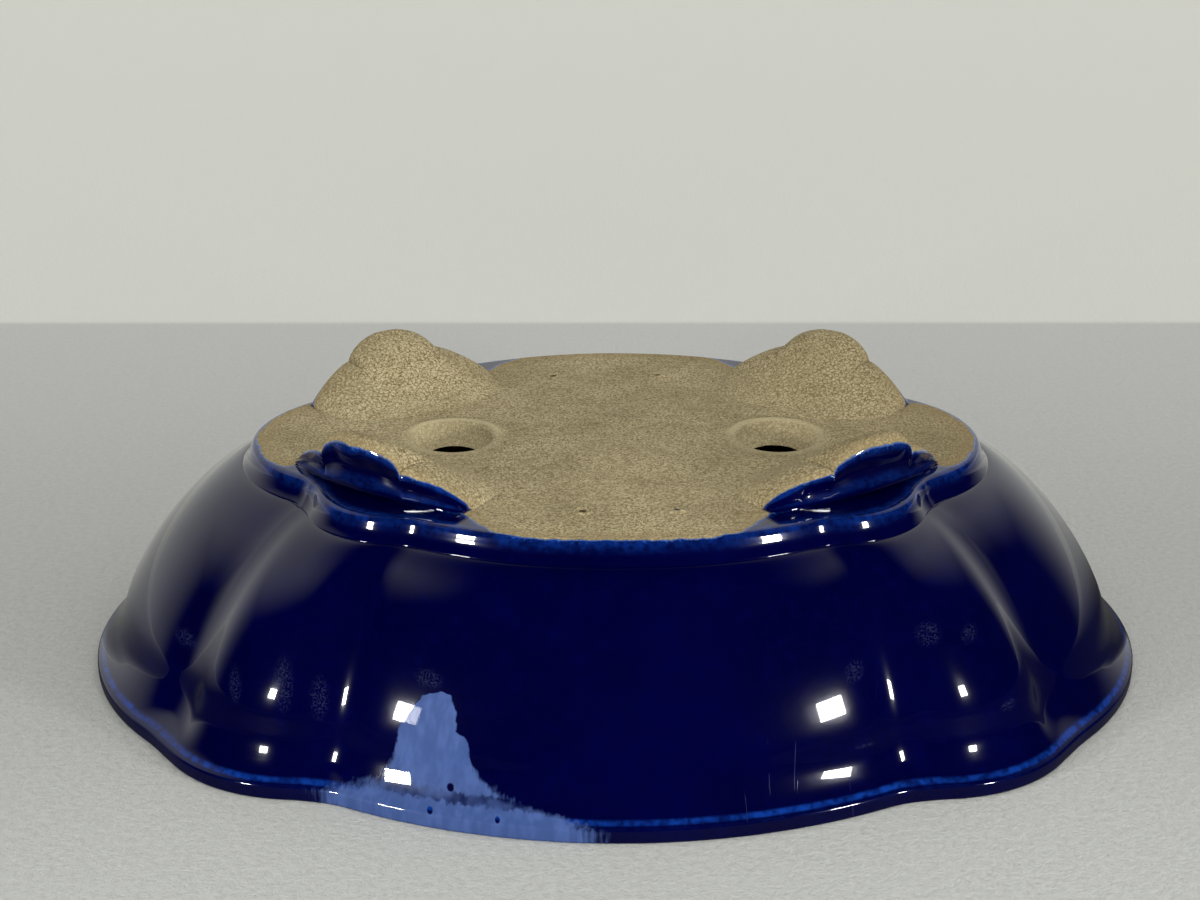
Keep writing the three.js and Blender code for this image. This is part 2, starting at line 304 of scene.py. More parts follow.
def makePiece(bm, name, node, finish):
    bmesh.ops.remove_doubles(bm, verts=bm.verts, dist=0.00001)
    for face in bm.faces:
        face.smooth = True
    piece = shapeFrom(bm, name)
    mesh = piece.data
    mesh.set_sharp_from_angle(angle=math.radians(50))
    mesh.materials.append(finish)
    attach(piece, "root")
    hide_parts(node)
    print("made", name, "with", len(mesh.polygons), "faces")


def makeHoop(rings, name, node, finish):
    # a piece that runs round the pot: its rings go round its section, and the last meets the first
    bm = newShape()
    made = sweep(bm, [([pottersHand(point) for point in points], edge, thin) for points, edge, thin in rings])
    bmesh.ops.bridge_loops(bm, edges=ringEdges(bm, made[0]) + ringEdges(bm, made[-1]))
    makePiece(bm, name, node, finish)


# shader maths

class Amount:
    # wraps a socket, so that sums written in Python add Math nodes
    def __init__(self, finish, socket):
        self.finish = finish
        self.socket = socket

    def sum(self, operation, first, second):
        return self.finish.add("ShaderNodeMath", {"operation": operation}, {0: first, 1: second})

    def __add__(self, other):
        return self.sum("ADD", self, other)

    def __radd__(self, other):
        return self.sum("ADD", other, self)

    def __sub__(self, other):
        return self.sum("SUBTRACT", self, other)

    def __rsub__(self, other):
        return self.sum("SUBTRACT", other, self)

    def __mul__(self, other):
        return self.sum("MULTIPLY", self, other)

    def __rmul__(self, other):
        return self.sum("MULTIPLY", other, self)

    def __truediv__(self, other):
        return self.sum("DIVIDE", self, other)


class Finish:
    # one node tree, and the few kinds of step that the materials here are made of
    def __init__(self, tree):
        self.tree = tree
        tree.nodes.clear()

    def add(self, kind, settings=None, inputs=None, output=0):
        node = self.tree.nodes.new(kind)
        for name, value in (settings or {}).items():
            if name == "stops":
                for extra in value[2:]:
                    node.color_ramp.elements.new(extra[0])
                for stop, (place, colour) in zip(node.color_ramp.elements, value):
                    stop.position = place
                    stop.color = colour
            else:
                setattr(node, name, value)
        for name, value in (inputs or {}).items():
            if isinstance(value, Amount):
                self.tree.links.new(value.socket, node.inputs[name])
            else:
                node.inputs[name].default_value = value
        return Amount(self, node.outputs[output]) if len(node.outputs) else None

    def blend(self, mask, first, second):
        return self.add("ShaderNodeMix", {"data_type": "RGBA"}, {0: mask, 6: first, 7: second}, 2)

    def between(self, low, high, amount):
        return self.add("ShaderNodeMapRange", {"interpolation_type": "SMOOTHSTEP"},
                        {"Value": amount, "From Min": low, "From Max": high})

    def cloud(self, place, scale, detail=2.0, roughness=0.5):
        return self.add("ShaderNodeTexNoise", {}, {
            "Vector": place, "Scale": scale, "Detail": detail, "Roughness": roughness})

    def moved(self, place, location=(0, 0, 0), rotation=(0, 0, 0), scale=(1, 1, 1)):
        return self.add("ShaderNodeMapping", {}, {
            "Vector": place, "Location": location, "Rotation": rotation, "Scale": scale})

    def axes(self, place):
        split = self.add("ShaderNodeSeparateXYZ", {}, {0: place}).socket.node
        return [Amount(self, output) for output in split.outputs]

    def flat(self, x, y):
        return self.add("ShaderNodeCombineXYZ", {}, {"X": x, "Y": y})

    def apart(self, place, other=(0, 0, 0)):
        return self.add("ShaderNodeVectorMath", {"operation": "DISTANCE"}, {0: place, 1: other}, 1)

    def larger(self, first, second):
        return self.add("ShaderNodeMath", {"operation": "MAXIMUM"}, {0: first, 1: second})

    def smaller(self, first, second):
        return self.add("ShaderNodeMath", {"operation": "MINIMUM"}, {0: first, 1: second})

    def size(self, amount):
        return self.add("ShaderNodeMath", {"operation": "ABSOLUTE"}, {0: amount})


def colour(*shown):
    # a colour given as it looks on screen, red, green and blue from 0 to 255
    return tuple(c / 255 / 12.92 if c <= 10 else ((c / 255 + 0.055) / 1.055) ** 2.4 for c in shown) + (1,)


# glaze over stoneware

glaze = {
    # thin is the blue of glaze that has run thin; the painted reflection bands on the feet use it too
    "deep": colour(0, 0, 41), "body": colour(0, 1, 54), "thin": colour(10, 50, 132),
    "edge": colour(110, 140, 190), "speckle": colour(66, 108, 184), "worn": colour(110, 118, 160),
    "wander": 2.2,  # millimetres that its edge strays
    # roughness of its surface, and of the body below, which gives the lamps' reflections a soft glow
    "coat": 0.028, "under": 0.15,
    # rubbed places: middle, level and half the width and height of each, in millimetres
    "scuffs": ((58, 32.5, 2.6, 2.4), (77, 38.5, 3.2, 2.6), (88, 37, 2.2, 2), (98.5, 19, 2.2, 1.4),
               (60.5, 15.3, 2.6, 0.5), (-46, 33, 3.4, 2), (-83, 27, 2.6, 6), (-96, 24.5, 1.8, 4),
               (-113.5, 25.5, 3.6, 2), (-74, 24, 2.4, 5)),
    # sets of scratches: turn, how many to the metre, where its pattern starts and how rare they are
    "scratches": ((0.05, 150, 0.0, 0.60), (-0.09, 110, 3.0, 0.62), (1.2, 60, 7.0, 0.70),
                  (-0.7, 80, 5.0, 0.68)),
}
fault = {
    "middle": 0.045,  # it lies about this far to the left
    "top": 0.0313,
    # level and width to either side, both in millimetres, the width with 5 added
    "left": [(0, 32), (3.7, 33), (5.5, 27), (8.3, 19.6), (9.5, 16.2), (11.6, 15.2), (16.4, 14.2),
             (21.1, 13.7), (26.3, 10.1), (29.4, 7.4), (31, 2.5)],
    "right": [(0, 44), (3.1, 44), (4.9, 40), (6.7, 31), (8.5, 23), (12.2, 16.7), (15.6, 14.3),
              (21.2, 13.6), (22.6, 11.0), (26.8, 11.1), (30.3, 9.4), (31, 6.5)],
    # place along the pot, level and radius
    "spots": ((-0.0405, 0.0097, 0.0009), (-0.0455, 0.0046, 0.0007), (-0.029, 0.0046, 0.0006)),
    "colour": colour(56, 77, 128), "pale": colour(68, 90, 144),
    "roughness": 0.45,
}
clay = {
    "plate": colour(200, 187, 149), "smooth": colour(168, 157, 122), "gap": colour(108, 90, 58),
    # shade is a painted shade colour: the clay is turned towards it on the right of the pot, where less light
    # falls
    "warm": colour(150, 130, 92), "shade": colour(112, 98, 66), "roughness": 0.86,
    "crackle": 860,  # plates to the metre
    # round the drain holes the clay is partly paler in itself, at the mouth, and partly painted light, down
    # the holes' shaded walls
    "drain": (0.0165, 0.0135),  # the clay round a drain hole pales from the first radius to the second
    "onFeet": (0.0632, 0.0665),  # levels between which the floor's finish turns into that of the feet
}


def byLevel(finish, z, places):
    # a width in metres that changes with the level: pairs of level and width in millimetres
    top, span = places[-1][0], 40  # the ramp holds shares of this span
    stops = [(level / top, (width / span,) * 3 + (1,)) for level, width in places]
    ramp = finish.add("ShaderNodeValToRGB", {"stops": stops}, {"Fac": z * (1000 / top)})
    return ramp * (span / 1000)


def makeFault(finish, place, x, z, front):
    # pale patch low on the front lobe: a column with feathery edges that spreads out along the lip
    left = byLevel(finish, z, fault["left"])
    right = byLevel(finish, z, fault["right"])
    streaks = finish.cloud(finish.moved(place, scale=(1, 1, 0.10)), 900, 2, 0.6) - 0.5
    blots = finish.cloud(place, 300, 3, 0.5) - 0.5
    low = finish.between(0.017, 0.006, z)
    ragged = streaks * (low * 0.011 + 0.0012) + blots * (low * 0.002 + 0.0022)
    inside = finish.smaller(x + fault["middle"] + left, right - x - fault["middle"]) + ragged - 0.005
    below = finish.between(fault["top"] + 0.0005, fault["top"] - 0.0005, z + blots * 0.002)
    covered = finish.between(0.0, 1.0, inside / (low * 0.007 + 0.0006) + 0.5) * below * front
    # darker spots in it, and a darker line where glaze has pooled above the lip
    spots = finish.between(0.80, 0.84, finish.cloud(place, 700, 1)) * low
    upright = finish.flat(x, z)
    for spotX, spotZ, radius in fault["spots"]:
        away = finish.apart(upright, (spotX, spotZ, 0))
        spots = finish.larger(spots, finish.between(radius * 1.25, radius * 0.8, away))
    feather = z + streaks * 0.003
    pool = finish.between(0.0062, 0.0070, feather) * finish.between(0.0094, 0.0082, feather)
    pool = pool * (finish.between(0.35, 0.6, finish.cloud(place, 130, 2)) * 0.7 + 0.3)
    return covered * (1 - finish.larger(spots, pool * 0.85))


def scratchMask(finish, place, x, z, front):
    # fine scratches on the right of the front lobe: most run down it, a few lie across
    patch = finish.between(0.026, 0.034, x) * finish.between(0.066, 0.056, x)
    patch = patch * finish.between(0.034, 0.026, z) * front
    lines = None
    for turn, spacing, start, rare in glaze["scratches"]:
        turned = finish.moved(place, location=(start, 0, 0), rotation=(0, turn, 0))
        across = finish.axes(turned)[0] + finish.cloud(turned, 30, 1) * 0.006
        wave = finish.add("ShaderNodeMath", {"operation": "PINGPONG"}, {0: across * spacing, 1: 0.5})
        stretches = finish.cloud(finish.moved(turned, scale=(1, 1, 0.3)), 170, 1)
        line = finish.between(0.012, 0.004, wave) * finish.between(rare, rare + 0.08, stretches)
        lines = line if lines is None else finish.larger(lines, line)
    return lines * patch


def scuffMask(finish, place, x, z, front):
    # small rubbed places, where the glaze has lost a little of its gloss
    rubbed = None
    for middle, level, wide, high in glaze["scuffs"]:
        spot = finish.flat((x * 1000 - middle) / wide, (z * 1000 - level) / high)
        near = finish.between(1.3, 0.4, finish.apart(spot))
        rubbed = near if rubbed is None else finish.larger(rubbed, near)
    grain = finish.between(0.49, 0.60, finish.cloud(place, 2300, 2, 0.6))
    return rubbed * grain * front


def mixGlaze(finish, place, past, thin):
    # deep in the flats, brighter in a cloudy way, blue where it has run thin and in the feet's painted
    # reflection bands, and speckled near its edge
    mottle = finish.cloud(place, 260, 4, 0.62)
    drift = finish.cloud(place, 34, 2)
    bright = finish.between(0.45, 0.8, mottle) * 0.6 + finish.between(0.35, 0.7, drift) * 0.4
    mixture = finish.blend(bright, glaze["deep"], glaze["body"])
    broken = finish.between(0.34, 0.66, finish.cloud(place, 420, 4, 0.7)) * 0.95 + 0.25
    uneven = finish.between(0.38, 0.62, finish.cloud(place, 55, 2)) * 0.45 + 0.62
    thinNearEdge = finish.between(2.6, 0.3, past) * 0.6
    thinness = finish.smaller(finish.larger(thin, thinNearEdge) * broken * uneven, 1.0)
    mixture = finish.blend(thinness, mixture, glaze["thin"])
    speckle = finish.between(0.56, 0.70, finish.cloud(place, 1100, 2)) * finish.between(1.9, 0.4, past)
    return finish.blend(speckle * 0.55, mixture, glaze["speckle"])


def mixClay(finish, place, past):
    # pale crackled plates with darker gaps, warmer beside the glaze, smoother on the floor
    x, y, z = finish.axes(place)
    strayed = finish.add("ShaderNodeTexNoise", {}, {"Vector": place, "Scale": 420.0, "Detail": 2.0}, 1)
    bent = finish.add("ShaderNodeVectorMath", {"operation": "MULTIPLY_ADD"}, {
        0: strayed, 1: (0.0016, 0.0016, 0.0016), 2: place})
    gap = finish.add("ShaderNodeTexVoronoi", {"feature": "DISTANCE_TO_EDGE"}, {
        "Vector": bent, "Scale": clay["crackle"]})
    plate = finish.between(0.015, 0.13, gap)
    grit = finish.cloud(place, 1400, 3, 0.8)
    patches = finish.cloud(place, 48, 3, 0.6)
    wiped = finish.cloud(finish.moved(place, scale=(0.12, 1, 1)), 700, 3, 0.6)
    onFeet = finish.between(*clay["onFeet"], z)
    away = finish.apart(finish.flat(finish.size(x), y), (drainX, 0, 0))
    # paler clay round each drain hole; on the hole's shaded walls this paleness is painted light
    drain = finish.between(*clay["drain"], away)
    crackle = 0.58 + onFeet * 0.2 + finish.between(0.45, 0.65, patches) * 0.2 + drain * 0.2
    mixture = finish.blend(finish.between(0.3, 0.7, patches), clay["smooth"], clay["plate"])
    mixture = finish.blend((1 - plate) * crackle, mixture, clay["gap"])
    mixture = finish.blend(finish.between(0.44, 0.66, grit) * 0.75, mixture, clay["gap"])
    mixture = finish.blend(finish.between(0.5, 0.32, grit) * 0.7, mixture, clay["plate"])
    mixture = finish.blend(finish.between(0.5, 0.75, wiped) * (1 - onFeet) * 0.3, mixture, clay["gap"])
    # a pale edge runs round the back of each drain hole: a painted highlight on the clay ridge there
    paintedRidgeHighlight = finish.between(0.0116, 0.0124, away) * finish.between(0.0146, 0.0134, away)
    paintedRidgeHighlight = paintedRidgeHighlight * finish.between(-0.003, 0.005, y)
    mixture = finish.blend(finish.larger(drain * 0.35, paintedRidgeHighlight * 0.7), mixture, clay["plate"])
    # painted shade: the clay darkens towards the right of the pot
    mixture = finish.blend(finish.between(0.0, 0.11, x) * 0.34, mixture, clay["shade"])
    mixture = finish.blend(finish.between(-7.0, -0.5, past) * 0.45, mixture, clay["warm"])
    height = finish.between(0.0, 0.3, gap) * crackle * 0.16 + grit * 0.13 + wiped * 0.08
    return mixture, height


def makeGlazedClay():
    material = bpy.data.materials.new("cobaltGlazeOverStoneware")
    material.use_nodes = True
    finish = Finish(material.node_tree)
    place = finish.add("ShaderNodeTexCoord", {}, {}, 3)
    x, y, z = finish.axes(place)
    edge = finish.add("ShaderNodeAttribute", {"attribute_name": "glazeEdge"}, {}, 2)
    thin = finish.add("ShaderNodeAttribute", {"attribute_name": "thinGlaze"}, {}, 2)

    # the glaze's edge wanders, and ends in a pale rolled line
    wander = (finish.cloud(place, 210, 3, 0.6) - 0.5) * glaze["wander"]
    past = edge + wander + (finish.cloud(place, 900, 1) - 0.5) * 0.5
    glazed = finish.between(-0.12, 0.12, past)
    paleLine = finish.between(0.7, 0.15, past) * glazed

    front = finish.between(-0.06, -0.075, y)
    faulty = makeFault(finish, place, x, z, front)
    scratches = scratchMask(finish, place, x, z, front)
    scuffs = scuffMask(finish, place, x, z, finish.between(0.0, -0.02, y))
    streaked = finish.cloud(finish.moved(place, scale=(1, 1, 0.25)), 420, 3)
    milky = finish.blend(finish.between(0.35, 0.75, streaked), fault["colour"], fault["pale"])
    glazeColour = finish.blend(faulty, mixGlaze(finish, place, past, thin), milky)
    glazeColour = finish.blend(finish.larger(scratches * 0.2, scuffs * 0.09), glazeColour, glaze["worn"])
    glazeColour = finish.blend(paleLine * 0.5, glazeColour, glaze["edge"])
    glazeHeight = finish.cloud(place, 95, 2) * 0.06 + faulty * 0.04 - scratches * 0.02 + 0.25
    under = faulty * (fault["roughness"] - glaze["under"]) + glaze["under"]
    matt = faulty * finish.between(0.009, 0.013, z) * 0.93

    clayColour, clayHeight = mixClay(finish, place, past)
    relief = finish.add("ShaderNodeMix", {"data_type": "FLOAT"}, {0: glazed, 2: clayHeight, 3: glazeHeight})
    rough = finish.add("ShaderNodeMix", {"data_type": "FLOAT"}, {0: glazed, 2: clay["roughness"], 3: under})
    bump = finish.add("ShaderNodeBump", {}, {"Height": relief, "Strength": 0.9, "Distance": 0.001})
    shader = finish.add("ShaderNodeBsdfPrincipled", {}, {
        "Base Color": finish.blend(glazed, clayColour, glazeColour), "Roughness": rough,
        "Coat Weight": glazed * (1 - finish.larger(matt, scratches * 0.5)), "Coat Roughness": glaze["coat"],
        "Specular IOR Level": 0.05, "Normal": bump})
    finish.add("ShaderNodeOutputMaterial", {}, {"Surface": shader})
    return material


glazedClay = makeGlazedClay()
print("glaze and clay mixed")


# rim lip

lip = {
    "overhang": 0.0059, "faceWidth": 0.013, "lowerRound": 0.0009, "upperRound": 0.0011, "edgeTop": 0.0032,
    "bend": (0.0032, 0.0060),  # where the slope up to the wall bends: in from the edge, and up
    "wall": 0.0065,
    "glazeInside": 9.5,  # millimetres that the glaze runs down the inside
    "cornerSteps": 5, "slopeSteps": 24,
}
wallReach = fullReach - lip["overhang"]


fuller = {
    "most": 0.00042, "between": (0.012, 0.021, 0.024, 0.0565),  # the levels where it grows, then fades
    "hollowTop": 0.013, "hollow": 40,  # below this level it grows with the square of the way down
}


def fullness(level):
    # how far the wall stands out past its plain curve: most where it hollows into the lip
    intoLip = max(0, fuller["hollowTop"] - level)
    return fuller["most"] * plateau(*fuller["between"], level) + fuller["hollow"] * intoLip ** 2


def lipSlope(share):
    # way in from the lip's edge and level, on a hollow curve from its upper corner to the wall's foot
    begin = (lip["upperRound"] * 0.5, lip["edgeTop"] + lip["upperRound"] * 0.87)
    finish = (lip["overhang"] - fullness(levels["wallFoot"]), levels["wallFoot"])
    near, middle, far = (1 - share) ** 2, 2 * share * (1 - share), share ** 2
    return tuple(near * a + middle * b + far * c for a, b, c in zip(begin, lip["bend"], finish))


def makeRimLip():
    rings = []
    soft, low, high = lobes["lipEase"], lip["lowerRound"], lip["upperRound"]
    steps = lip["cornerSteps"]
    for step in range(steps + 1):  # lower corner
        angle = math.radians(90) * step / steps
        reach = fullReach - low * (1 - math.sin(angle))
        rings.append((lobedRing(reach, low * (1 - math.cos(angle)), ease=soft), wellGlazed, 0))
    rings.append((lobedRing(fullReach, (low + lip["edgeTop"]) / 2, ease=soft), wellGlazed, 0))
    for step in range(steps + 1):  # upper corner
        angle = math.radians(60) * step / steps
        reach, level = fullReach - high * (1 - math.cos(angle)), lip["edgeTop"] + high * math.sin(angle)
        rings.append((lobedRing(reach, level, ease=soft), wellGlazed, 0.1 * step / steps))
    for step in range(lip["slopeSteps"]):
        share = (step + 1) / lip["slopeSteps"]
        inwardWay, level = lipSlope(share)
        risen = smooth(0, 1, share)
        thin = plateau(0.05, 0.18, 0.26, 0.42, share)
        ease = mixed(soft, lobes["wallEase"], risen)
        rings.append((lobedRing(fullReach - inwardWay, level, ease=ease, relief=risen), wellGlazed, thin))
    inner = lip["glazeInside"]
    rings.append((lobedRing(wallReach, levels["wallFoot"], lip["wall"], relief=1), inner - 9, 0))
    for share in (0.35, 0.7):
        reach, level = mixed(wallReach, fullReach, share), mixed(levels["wallFoot"], 0.002, share)
        inset = mixed(lip["wall"], lip["faceWidth"], share)
        ease = mixed(lobes["ease"], soft, share)
        rings.append((lobedRing(reach, level, inset, ease, 1 - share), inner - level * 1000, share * 0.4))
    for step in range(steps):  # inner corner
        angle = math.radians(90) * step / (steps - 1)
        inset = lip["faceWidth"] - low * (1 - math.cos(angle))
        rings.append((lobedRing(fullReach, low * (1 - math.sin(angle)), inset, soft), 9, 0.7))
    for share in (0.3, 0.6, 0.85):  # rim face
        rings.append((lobedRing(fullReach, 0, lip["faceWidth"] * (1 - share), soft), wellGlazed, 0.1))
    makeHoop(rings, "glazedRimLip", "rim_lip", glazedClay)


# bowl wall

wall = {
    "roundness": 1.4,
    "straight": 0.2,  # share of its height that runs straight above the lip
    "ledge": 0.0045,  # reach at its top, where the base band takes over
    "thickness": 0.0065, "topInset": 0.0045,
    "cornerFull": 0.0009, "fullBetween": (0.012, 0.026, 0.038, 0.0565),  # corner lobes swell at mid height
    "outerSteps": 60, "innerSteps": 16,
    "bunching": 1.6,  # power with which the steps bunch towards the base
}


def wallCurve(share):
    bent = max(share, wall["straight"])
    reached = (1 - bent ** wall["roundness"]) ** (1 / wall["roundness"])
    if share == bent:
        return reached
    return reached + reached ** (1 - wall["roundness"]) * bent ** (wall["roundness"] - 1) * (bent - share)


def wallRing(share, inner):
    level = mixed(levels["wallFoot"], levels["shoulder"], share)
    bulge = wallCurve(share) / wallCurve(0)
    relief = 1 - share ** lobes["reliefFade"]
    if inner:
        return lobedRing(mixed(-wall["topInset"], wallReach, bulge), level, wall["thickness"], relief=relief)
    full = wall["cornerFull"] * plateau(*wall["fullBetween"], level)
    ease = mixed(lobes["ease"], lobes["wallEase"], relief)
    return lobedRing(mixed(wall["ledge"], wallReach, bulge) + fullness(level), level, 0, ease, relief, full)


def makeBowlWall():
    rings = []
    for step in range(wall["outerSteps"] + 1):
        share = 1 - (1 - step / wall["outerSteps"]) ** wall["bunching"]
        rings.append((wallRing(share, False), wellGlazed, 0))
    rings.append((lobedRing(0.002, levels["shoulder"]), wellGlazed, 0))  # its top, tucked under the band
    rings.append((lobedRing(0, levels["shoulder"], 0.003), wellBare, 0))
    for step in range(wall["innerSteps"], -1, -1):
        share = 1 - (1 - step / wall["innerSteps"]) ** wall["bunching"]
        level = mixed(levels["wallFoot"], levels["shoulder"], share) * 1000
        rings.append((wallRing(share, True), lip["glazeInside"] - level, 0.3))
    makeHoop(rings, "glazedBowlWall", "bowl_wall", glazedClay)


# base band

band = {
    "width": 0.006,
    # reach and drop of places on the bead, from its top down to the cove that runs out on the wall
    "bead": [(0, 0), (0.0008, 0.00015), (0.0014, 0.0005), (0.00178, 0.0011), (0.00208, 0.0019),
             (0.00234, 0.0027), (0.00266, 0.0035), (0.0031, 0.0043), (0.0037, 0.0051), (0.0045, 0.0060)],
    "beadRings": 36,
    "topInsets": (0.0005, 0.001, 0.0017, 0.0025, 0.0034, 0.0043, 0.0052, 0.006),  # rings across its flat top
}


def makeBaseBand():
    rings = [(lobedRing(band["bead"][-1][0], levels["shoulder"]), wellGlazed, 0)]
    for reach, drop in through([Vector(place) for place in reversed(band["bead"])], band["beadRings"]):
        points = lobedRing(max(0, reach), levels["base"] - max(0, drop))
        past = [float(edge) + drop * 1200 for edge in pastClay(points)]
        rings.append((points, past, 0.48 * smooth(0.0042, 0.0004, drop)))
    for inset in band["topInsets"]:
        points = lobedRing(0, levels["base"], inset)
        past = [float(edge) for edge in pastClay(points)]
        rings.append((points, past, 0.5 * smooth(0.0025, 0.0005, inset)))
    rings.append((lobedRing(0, levels["shoulder"], band["width"]), wellBare, 0))
    makeHoop(rings, "glazedBaseBand", "base_band", glazedClay)


# floor slab

slab = {
    "blank": (0.196, 0.146), "grid": 0.0011,  # the sheet it is cut from, and the spacing of its mesh
    "dishRadius": 0.021, "dishDepth": 0.0014,
    "ridgeRadius": 0.0131, "ridgeHeight": 0.0011, "ridgeSpread": 0.0016,
    "burrRadius": 0.0008, "burrOffset": 0.0006, "wireRadius": 0.0012,
    # radius and level of places down a drain hole, from its soft mouth to its throat
    "drain": [(0.0120, 0.0010), (0.0113, -0.0001), (0.0108, -0.0012), (0.0100, -0.0026), (0.0087, -0.0044),
              (0.0070, -0.0062)],
    "wireHoles": ((-0.0185, 0.0525), (0.0135, 0.053), (-0.009, -0.0573), (0.0155, -0.0568)),
}


def prismInBand():
    bm = bmesh.new()
    ring = bmesh.ops.create_circle(bm, segments=sum(lobes["steps"]) * 2, radius=0.1, cap_ends=True)["verts"]
    for vert, point in zip(ring, lobedRing(0, levels["shoulder"] - 0.01, band["width"])):
        vert.co = point
    lifted = vertsOf(bmesh.ops.extrude_face_region(bm, geom=bm.faces[:]))
    bmesh.ops.translate(bm, vec=(0, 0, 0.03), verts=lifted)
    return shapeFrom(bm, "slabEdge")


def drainCutter(x):
    # turned profile of a drain hole with a soft mouth
    bm = bmesh.new()
    side = [tuple(place) for place in through([Vector(place) for place in slab["drain"]], 16)]
    profile = [(0, 0.01), (side[0][0], 0.01)] + side + [(side[-1][0], -0.02), (0, -0.02)]
    verts = [bm.verts.new((x + radius, 0, levels["base"] + level)) for radius, level in profile]
    edges = [bm.edges.new(pair) for pair in zip(verts, verts[1:])]
    bmesh.ops.spin(bm, geom=verts + edges, cent=(x, 0, 0), axis=(0, 0, 1), angle=2 * math.pi, steps=64,
                   use_merge=True)
    bmesh.ops.remove_doubles(bm, verts=bm.verts, dist=0.00001)
    return shapeFrom(bm, "drainCutter")


def wireCutter(x, y):
    bm = bmesh.new()
    radius = slab["wireRadius"]
    bmesh.ops.create_cone(bm, cap_ends=True, segments=16, radius1=radius, radius2=radius, depth=0.04)
    bmesh.ops.translate(bm, vec=(x, y, levels["base"]), verts=bm.verts)
    return shapeFrom(bm, "wireCutter")


def floorDip(point):
    # the floor sinks softly to each drain hole, and a low ridge of clay stands behind it
    rise = 0
    for side in (-1, 1):
        away = Vector((point.x - side * drainX, point.y))
        reach = away.length
        rise -= slab["dishDepth"] * (1 - smooth(0.008, slab["dishRadius"], reach))
        behind = smooth(-0.2, 0.8, away.y / max(reach, 0.0001))
        fromRidge = (reach - slab["ridgeRadius"]) / slab["ridgeSpread"]
        rise += slab["ridgeHeight"] * behind * math.exp(-fromRidge ** 2)
    return rise


def addBurr(bm, x, y):
    # clay pushed up round a wire hole
    ring = bmesh.ops.create_circle(bm, segments=8, radius=slab["burrRadius"])["verts"]
    bmesh.ops.rotate(bm, cent=(0, 0, 0), matrix=Matrix.Rotation(math.pi / 2, 3, "X"), verts=ring)
    bmesh.ops.translate(bm, vec=(x + slab["wireRadius"] + slab["burrOffset"], y, levels["base"]), verts=ring)
    edges = list({edge for vert in ring for edge in vert.link_edges})
    before = set(bm.verts)
    bmesh.ops.spin(bm, geom=ring + edges, cent=(x, y, 0), axis=(0, 0, 1), angle=2 * math.pi, steps=20,
                   use_merge=True)
    for vert in set(bm.verts) - before | set(ring):
        lump = 0.55 + 0.9 * noise.noise(vert.co * 700)
        vert.co.z = levels["base"] + (vert.co.z - levels["base"]) * max(0.1, lump)


def cutSlab():
    # a sheet of clay cut to the band, with its drain and wire holes
    bm = bmesh.new()
    length, width = slab["blank"]
    bmesh.ops.create_grid(bm, x_segments=round(length / slab["grid"]), y_segments=round(width / slab["grid"]),
                          size=0.5)
    bmesh.ops.scale(bm, vec=(length, width, 1), verts=bm.verts)
    bmesh.ops.translate(bm, vec=(0, 0, levels["base"]), verts=bm.verts)
    lowered = vertsOf(bmesh.ops.extrude_face_region(bm, geom=bm.faces[:]))
    bmesh.ops.translate(bm, vec=(0, 0, levels["shoulder"] - levels["base"]), verts=lowered)
    block = shapeFrom(bm, "slabBlock")
    cutters = [drainCutter(side * drainX) for side in (-1, 1)]
    cutters += [wireCutter(x, y) for x, y in slab["wireHoles"]]
    edge = prismInBand()
    for operation, tool in [("INTERSECT", edge)] + [("DIFFERENCE", cutter) for cutter in cutters]:
        cut = block.modifiers.new("cut", "BOOLEAN")
        cut.operation = operation
        cut.object = tool
        cut.solver = "EXACT"
    graph = bpy.context.evaluated_depsgraph_get()
    mesh = bpy.data.meshes.new_from_object(block.evaluated_get(graph))
    for solid in [block, edge] + cutters:
        bpy.data.objects.remove(solid)
    return mesh


def makeFloorSlab():
    bm = newShape(cutSlab())
    edgeLayer = bm.verts.layers.float["glazeEdge"]
    verts = list(bm.verts)
    for vert, past in zip(verts, pastClay([vert.co for vert in verts])):
        vert[edgeLayer] = float(past) if vert.co.z > levels["base"] - 0.0005 else wellBare
        depth = smooth(levels["shoulder"], levels["base"], vert.co.z)
        vert.co.z += floorDip(vert.co) * depth
    for x, y in slab["wireHoles"]:
        addBurr(bm, x, y)
    for vert in bm.verts:
        vert.co = pottersHand(vert.co)
        if vert.co.z > levels["base"] and vert[edgeLayer] == 0:  # on a burr
            vert[edgeLayer] = wellBare
    makePiece(bm, "bareFloorSlab", "floor_slab", glazedClay)


# cloud feet

def hump(share):
    return math.sqrt(max(0, 1 - (2 * share - 1) ** 2))


def crestHeight(along):
    # a tall dome in the middle and a low shoulder to either side, with valleys between
    valley, distance = foot["domeLength"] / 2, abs(along)
    if distance < valley:
        dome = foot["valley"] + foot["domeRise"] * hump((along + valley) / (2 * valley))
        return min(foot["height"] + 0.0004, dome)
    share = (distance - valley) / (foot["length"] / 2 - valley)
    return mixed(foot["valley"], foot["endHeight"], share) + foot["shoulderRise"] * hump(share)


def moundHeight(along):
    # the foot's body behind its crest, which has no notches
    share = min(1, abs(along) / (foot["length"] / 2))
    return mixed(foot["endHeight"], foot["height"] * 0.93, (1 - share ** 1.7) ** 0.85)


